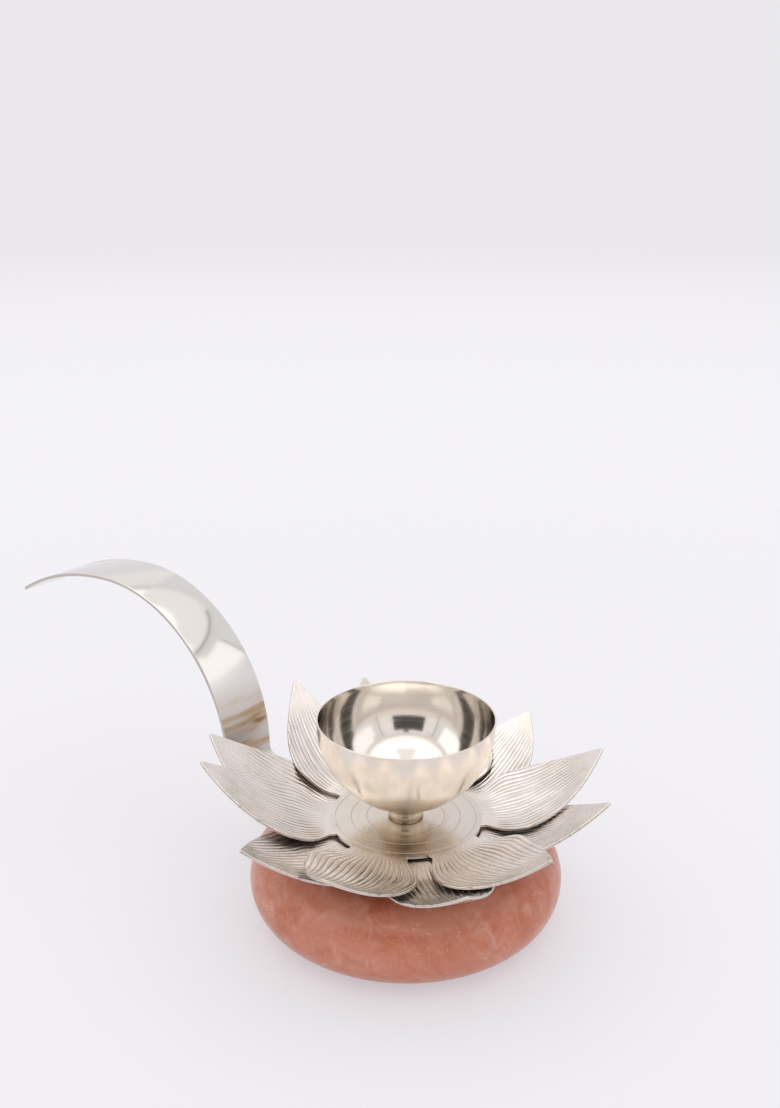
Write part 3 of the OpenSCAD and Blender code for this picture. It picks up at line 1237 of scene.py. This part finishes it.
@dataclass
class Bowl:
    """The oil bowl on its stem, and the collar between the flower sheets."""

    bowl_d: float = 55.4
    wall: float = 0.9
    lip_wall: float = 0.5
    lip_r: float = 0.15
    lip_flat: Span = (0.33, 0.67)
    stem_d: float = 11.2
    flare_r: float = 4.0
    joint_depth: float = 0.5
    joint_h: float = 0.35
    joint_edge: float = 0.15
    solder_gap: float = 0.05
    stud_hole_d: float = 5.1
    stud_top: float = 36.6
    collar_d: float = 24.0
    collar_t: float = 1.7
    collar_edge: float = 0.2
    collar_hole_d: float = 5.4
    arc_steps: int = 56
    lip_steps: int = 4
    flare_steps: int = 20
    seat_steps: int = 16
    turn_steps: int = 224

    def build(self) -> None:
        """Makes the bowl, the stem and the collar."""
        self.build_bowl()
        self.build_stem()
        collar = washer(
            self.collar_hole_d, self.collar_d, LEVELS.collar, self.collar_t, self.collar_edge
        )
        brushed = TurnedMetal("turned_collar", "#D9D0C6", rough=0.22).make()
        shape = spin_outline(collar, self.turn_steps, True)
        make_piece("sheet_collar", shape, [brushed], "lotus_collar")

    def build_bowl(self) -> None:
        """Makes the bowl: a half-round shell under a short straight lip, spun thin at its rim."""
        outer, rim, middle = self.bowl_d / 2, LEVELS.rim, LEVELS.bowl_centre
        inner = outer - self.lip_wall
        outline = arc_points((0, middle), outer, -90, 0, self.arc_steps)
        lip = [(outer, rim - self.lip_r), (outer, rim), (inner, rim), (inner, rim - self.lip_r)]
        a, b, c, d = (Vector(p) for p in lip)
        first, last = (b.lerp(c, share) for share in self.lip_flat)
        outline += bend(a, b, first, self.lip_steps) + bend(last, c, d, self.lip_steps)
        for i in range(self.arc_steps + 1):
            share = i / self.arc_steps
            r = inner - (self.wall - self.lip_wall) * share
            outline += arc_points((0, middle), r, -90 * share, -90 * share, 1)[:1]
        outline[0] = (0.0, outline[0][1])
        outline[-1] = (0.0, outline[-1][1])
        bm = spin_outline(outline, self.turn_steps, False)
        between = (outer - self.wall / 2) * MM
        for f in bm.faces:
            here = f.calc_center_median()
            away = here - Vector((0, 0, max(here.z, middle * MM)))
            f.material_index = int(away.length < between)
        outside = TurnedMetal(
            "spun_bowl_outside", "#EEE5DA", rough=0.2, scratched=0.28, pulled=0.85
        )
        mirror = TurnedMetal(
            "spun_bowl_inside", "#E6E0D9", rough=0.1, scratched=0.19,
            ring_depth_mm=0.001, tarnish_share=0.15,
        )
        finishes = [outside.make(), mirror.make()]
        make_piece("oil_bowl", bm, finishes, "bowl", sharp_deg=60.0)

    def build_stem(self) -> None:
        """Makes the stem: undercut at its joint, flared to the bowl, drilled for the stud."""
        seat_r = self.bowl_d / 2 + self.solder_gap
        stem_r = self.stem_d / 2
        reach = stem_r + self.flare_r
        drop = math.sqrt((seat_r + self.flare_r) ** 2 - reach**2)
        tilt = math.degrees(math.atan2(drop, reach))
        middle, joint_top = LEVELS.bowl_centre, LEVELS.stem + self.joint_h
        neck_r = stem_r - self.joint_depth
        outline = [
            (self.stud_hole_d / 2, LEVELS.stem), (neck_r, LEVELS.stem), (neck_r, joint_top),
            (stem_r - self.joint_edge, joint_top), (stem_r, joint_top + self.joint_edge),
        ]
        flare = (reach, middle - drop)
        outline += arc_points(flare, self.flare_r, 180, 180 - tilt, self.flare_steps)
        outline += arc_points((0, middle), seat_r, -tilt, -90, self.seat_steps)[:-1]
        outline += [(0.0, middle - seat_r), (0.0, self.stud_top)]
        outline += [(self.stud_hole_d / 2, self.stud_top)]
        bm = spin_outline(outline, self.turn_steps, True)
        bmesh.ops.dissolve_degenerate(bm, dist=MERGE_MM * MM, edges=bm.edges)
        turned = TurnedMetal("turned_stem", "#D3C5B3", rough=0.13, pulled=0.6).make()
        make_piece(
            "bowl_stem_turned", bm, [turned], "bowl_stem", sharp_deg=50.0
        )


@dataclass
class Lamp:
    """The whole lamp."""

    base: StoneBase = field(default_factory=StoneBase)
    handle: Handle = field(default_factory=Handle)
    bowl: Bowl = field(default_factory=Bowl)
    lower: LotusSheet = field(
        default_factory=lambda: LotusSheet(
            name="lower_flower", node="lower_lotus", level=LEVELS.lower, start=21.0, reach=63.5,
            root_swell=1.1,
            turns=(-4, 3, -1, 5, -1, 0),
            lift_shares=(1.07, 0.91, 1.27, 1.38, 0.92, 0.78),
            curls=(1.85, 1.75, 3, 1.75, 1.9, 2.75),
            rolls=(0, -4, 0, -7, -6, 3),
        )
    )
    upper: LotusSheet = field(
        default_factory=lambda: LotusSheet(
            name="upper_flower", node="upper_lotus", level=LEVELS.upper, start=-15.0,
            reach=63.0,
            turns=(0, 0, 0, -1, -3, 1),
            lift_shares=(0.83, 1.05, 0.8, 1.34, 1.21, 0.83),
            curls=(2.5, 2, 2.2, 2.5, 1.75, 2.4),
            rolls=(6, 2, 0, 11, 0, -7),
            rings=(44.5, 34.4, 24.6),
        )
    )

    def build(self) -> None:
        """Builds every piece and dresses the hidden hardware."""
        self.base.build()
        cut_edge = CutEdge().make()
        self.handle.build(cut_edge)
        disc_metal = TurnedMetal("turned_disc", "#DDD5CC", rough=0.17, ring_depth_mm=0.002)
        sheet_metals = [StampedSheet().make(), disc_metal.make(), cut_edge]
        self.lower.build(sheet_metals)
        self.upper.build(sheet_metals)
        self.bowl.build()
        steel = ZincSteel().make()
        fibre = SoftSheet(
            "vulcanised_fibre", "#5A3521", "#7A4B30", rough=0.7, fibre_mm=0.5,
            fibre_depth_mm=0.03,
        ).make()
        for name, material in (
            ("base_nut", steel), ("base_washer", steel), ("centre_stud", steel),
            ("cushion_washer", fibre),
        ):
            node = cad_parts[name]
            node.data.materials.clear()
            node.data.materials.append(material)
            LOG.info("%s: kept from the frame, in %s", name, material.name)


@dataclass(frozen=True)
class TentPanel:
    """A soft-edged patch of the light tent, as the lamp's mirrors see it.

    Its sides are in degrees: round from the camera's own direction, to the camera's left where
    positive, and up from level.
    """

    colour: str
    around: Span
    up: Span
    soft: float = 2.0


ALL_ROUND = (-181, 181)
TENT = (
    # The back wall and the side walls, with a fold in each corner
    TentPanel("#ABAAAB", (114, 181), (22, 90), 8),
    TentPanel("#B4B3B3", (-181, -114), (22, 90), 8),
    TentPanel("#C9C8C7", (54, 114), (22, 90), 6),
    TentPanel("#D2D1D0", (-112, -60), (22, 90), 6),
    TentPanel("#7F7C7B", (113.5, 115), (16, 38), 1.2),
    TentPanel("#7F7C7B", (-115, -113.5), (16, 42), 1.2),
    # The front wall with its folds, and the warm table below it
    TentPanel("#B4B2B1", (-47, 44), (17, 46), 5),
    TentPanel("#ADA49D", (-80, 80), (-20, 16), 4),
    TentPanel("#AAA8A7", (34, 60), (36, 43), 4),
    TentPanel("#AAA8A7", (-60, -34), (36, 43), 4),
    TentPanel("#827F7D", (41.5, 43.5), (14, 41), 1.6),
    TentPanel("#827F7D", (-48, -46), (12, 41), 1.6),
    # The ceiling, past a soft grey seam
    TentPanel("#A7A5A5", ALL_ROUND, (41.5, 90), 3),
    TentPanel("#CFCECD", ALL_ROUND, (46.5, 90), 4),
    TentPanel("#F4F3F2", ALL_ROUND, (55, 91), 12),
    TentPanel("#B6B5B4", ALL_ROUND, (76, 91), 7),
    TentPanel("#BDBCBB", (-34, 34), (61, 91), 8),
    # What the handle mirrors: a duller stretch of ceiling with a dark seam along its edge
    TentPanel("#B9B8B7", (101, 181), (44, 60), 5),
    TentPanel("#A9A8A6", (96, 126), (38.5, 44), 3),
    TentPanel("#5F5D5B", (96, 141), (43.6, 44.6), 0.8),
    # The opening that the camera looks through
    TentPanel("#3B3937", (-28, 20), (18.5, 38), 1.2),
    TentPanel("#5F5D5A", (-5, 5), (37.5, 41.5), 1.8),
)


@dataclass
class Studio:
    """The white studio: floor, light tent, lamp and camera."""

    background: str = "#F4F2F7"
    # A darker tone for the far backdrop: painted shade.
    far_backdrop_shade: str = "#EBE8ED"
    floor_m: float = 4.0
    floor_cells: int = 8
    floor_glow: float = 0.5
    glow_from_m: Span = (0.16, 0.55)
    far_from_m: Span = (0.9, 3.6)
    ambient: float = 0.8
    mirror_level: float = 2.2
    tent_colour: str = "#AAA9AC"
    lamp_m: tuple[float, float, float] = (-0.05, 0.1, 1.0)
    lamp_size_m: float = 1.7
    lamp_watts: float = 3.6
    lens_mm: float = 38.99
    sensor_mm: float = 36.0
    camera_mm: tuple[float, float, float] = (197.9, -270.9, 228.0)
    camera_azimuth: float = 37.0
    camera_pitch: float = 17.94
    camera_clip_m: Span = (0.01, 20.0)

    def build(self) -> None:
        """Builds the studio round the lamp."""
        self.build_floor()
        self.build_tent()
        self.build_lamp()
        self.build_camera()

    def build_floor(self) -> None:
        """Makes the floor: pale, shaded near the lamp and plain further out, where it fades to a
        painted shade of the far backdrop.
        """
        bm = bmesh.new()
        cells = self.floor_cells
        bmesh.ops.create_grid(bm, x_segments=cells, y_segments=cells, size=self.floor_m)
        floor = mesh_object("studio_floor", bm)
        material, tree, place = new_material("white_sweep")
        away = add_node(tree, "VectorMath", {"operation": "LENGTH"}, {0: place}).outputs["Value"]
        rays = add_node(tree, "LightPath").outputs
        seen = math_of(tree, "MAXIMUM", rays["Is Camera Ray"], rays["Is Glossy Ray"])
        seen = math_of(tree, "MAXIMUM", seen, rays["Is Transmission Ray"])
        far = ramp(tree, away, self.glow_from_m, (self.floor_glow, 1.0))
        # Far out the plain floor darkens to the far backdrop's tone: a painted shade.
        back = ramp(tree, away, self.far_from_m)
        fading = blend(tree, back, self.background, self.far_backdrop_shade)
        matt = add_node(tree, "BsdfDiffuse", None, {"Color": linear(self.background)})
        plain = add_node(tree, "Emission", None, {"Color": fading, "Strength": 1.0})
        share = math_of(tree, "MULTIPLY", far, seen)
        parts = {0: share, 1: matt.outputs[0], 2: plain.outputs[0]}
        finish_with(tree, add_node(tree, "MixShader", None, parts).outputs[0])
        floor.data.materials.append(material)

    def directions(self, tree: Tree) -> tuple[Socket, Socket]:
        """Works out where a ray goes, in degrees.

        Args:
            tree: The world's node tree.

        Returns:
            The angle round from the camera's own direction, and the angle up from level.
        """
        place = add_node(tree, "TexCoord").outputs["Generated"]
        x, y, _ = self.camera_mm
        toward = Vector((x, y, 0)).normalized()
        ahead, left, rise = (
            add_node(
                tree, "VectorMath", {"operation": "DOT_PRODUCT"}, {0: place, 1: axis}
            ).outputs["Value"]
            for axis in (tuple(toward), (-toward.y, toward.x, 0.0), (0.0, 0.0, 1.0))
        )
        around = math_of(tree, "ARCTAN2", left, ahead)
        up = math_of(tree, "ARCSINE", rise)
        return math_of(tree, "DEGREES", around), math_of(tree, "DEGREES", up)

    def build_tent(self) -> None:
        """Makes the world: plain to the camera, a light tent to metal, even to the rest."""
        world = bpy.data.worlds.new("light_tent")
        bpy.context.scene.world = world
        world.use_nodes = True
        tree = world.node_tree
        tree.nodes.clear()
        around, up = self.directions(tree)
        tent: str | Socket = self.tent_colour
        for panel in TENT:
            mask = None
            for angle, (start, end) in ((around, panel.around), (up, panel.up)):
                for side, to in ((start, (0.0, 1.0)), (end, (1.0, 0.0))):
                    edge = ramp(tree, angle, (side - panel.soft / 2, side + panel.soft / 2), to)
                    mask = edge if mask is None else math_of(tree, "MULTIPLY", mask, edge)
            tent = blend(tree, mask, tent, panel.colour)
        rays = add_node(tree, "LightPath").outputs
        to_camera, to_metal = rays["Is Camera Ray"], rays["Is Glossy Ray"]
        shown = blend(tree, to_metal, "#FFFFFF", tent)
        # The camera sees the far backdrop in the same painted shade.
        shown = blend(tree, to_camera, shown, self.far_backdrop_shade)
        level = ramp(tree, to_metal, to=(self.ambient, self.mirror_level), eased=False)
        level = ramp(tree, to_camera, to=(level, 1.0), eased=False)
        glow = add_node(tree, "Background", None, {"Color": shown, "Strength": level})
        add_node(tree, "OutputWorld", None, {"Surface": glow.outputs[0]})

    def build_lamp(self) -> None:
        """Hangs one wide soft lamp overhead; the metal mirrors the tent instead of it."""
        data = bpy.data.lights.new("overhead_soft", "AREA")
        data.shape = "SQUARE"
        data.size = self.lamp_size_m
        data.energy = self.lamp_watts
        lamp = add_object("overhead_soft", data)
        lamp.location = self.lamp_m
        lamp.visible_glossy = False

    def build_camera(self) -> None:
        """Sets the camera where the photograph was taken from."""
        data = bpy.data.cameras.new("photo_view")
        data.lens = self.lens_mm
        data.sensor_width = self.sensor_mm
        data.clip_start, data.clip_end = self.camera_clip_m
        camera = add_object("photo_view", data)
        camera.location = Vector(self.camera_mm) * MM
        camera.rotation_mode = "XYZ"
        tilt, turn = math.radians(90 - self.camera_pitch), math.radians(self.camera_azimuth)
        camera.rotation_euler = (tilt, 0.0, turn)
        bpy.context.scene.camera = camera


def main() -> None:
    """Builds the lamp and the studio."""
    logging.basicConfig(level=logging.INFO, format="%(name)s: %(message)s")
    Lamp().build()
    Studio().build()
    bpy.context.scene.view_settings.view_transform = "Standard"


if __name__ == "__main__":
    main()
